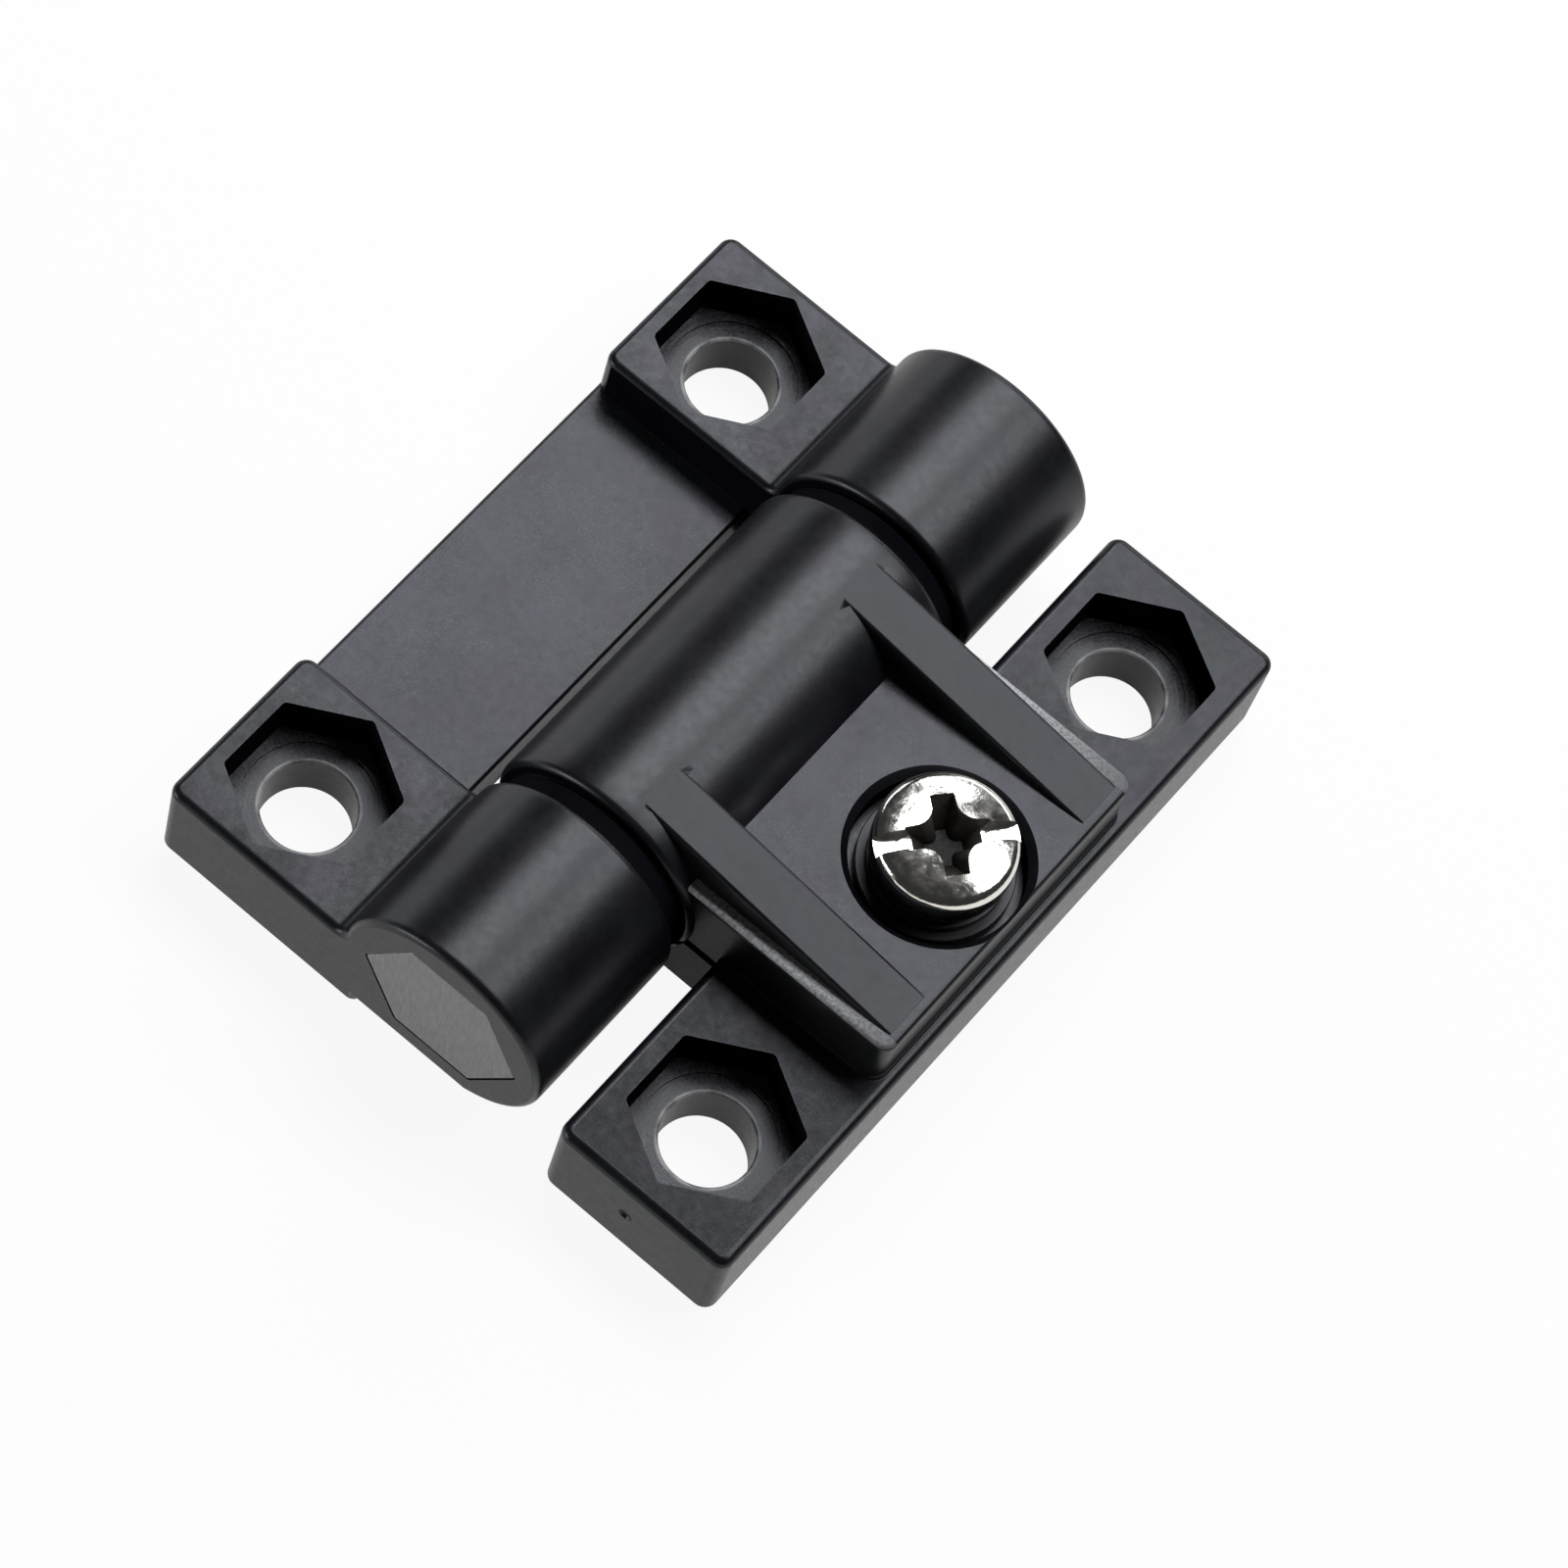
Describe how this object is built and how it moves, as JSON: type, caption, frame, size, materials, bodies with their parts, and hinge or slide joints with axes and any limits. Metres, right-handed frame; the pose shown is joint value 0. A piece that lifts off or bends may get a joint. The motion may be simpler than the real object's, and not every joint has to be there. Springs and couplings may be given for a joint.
{
  "type": "adjustable friction hinge",
  "caption": "Flat black plastic friction hinge with screw-mounted leaves, hexagonal screw pockets, a hexagonal pin and a clamp screw that sets its torque.",
  "frame": {"origin": "under the middle of the open hinge's bounding box, on the plane of its flat back", "axes": "+Y along the pin, +X from the pin leaf to the clamp leaf, +Z from the back to the front"},
  "size_m": [0.0392, 0.0486, 0.0138],
  "materials": {
    "black_nylon": "matte moulded black",
    "pin_grey": "matte blasted grey",
    "plated_steel": "bright nickel plating",
    "dark_steel": "black oxide",
    "dark_acetal": "smooth dark grey"
  },
  "bodies": {
    "pin_side": {"pin_leaf": "black_nylon", "hinge_pin": "pin_grey", "friction_sleeve": "dark_acetal", "thrust_washer_near": "black_nylon", "thrust_washer_far": "black_nylon"},
    "clamp_side": {"clamp_leaf": "black_nylon", "square_nut": "plated_steel", "plain_washer": "dark_steel", "disc_spring_lower": "dark_steel"},
    "screw_carrier": {"disc_spring_upper": "dark_steel"},
    "screw": {"adjusting_screw": "plated_steel"}
  },
  "joints": [
    {"name": "leaf_fold", "type": "hinge", "parent": "pin_side", "child": "clamp_side", "pos_m": [-0.0005, 0, 0.0068], "axis": [0, -1, 0], "range_deg": [-100, 150]},
    {"name": "screw_travel", "type": "slide", "parent": "clamp_side", "child": "screw_carrier", "axis": [0, 0, 1], "range_m": [0, 0.0007]},
    {"name": "screw_turn", "type": "hinge", "parent": "screw_carrier", "child": "screw", "pos_m": [0.0137, 0, 0.0113], "axis": [0, 0, 1], "range_deg": [0, 360]}
  ],
  "couplings": [
    {"joint": "screw_turn", "follows": "screw_travel", "rad_per_m": 8975.9}
  ]
}
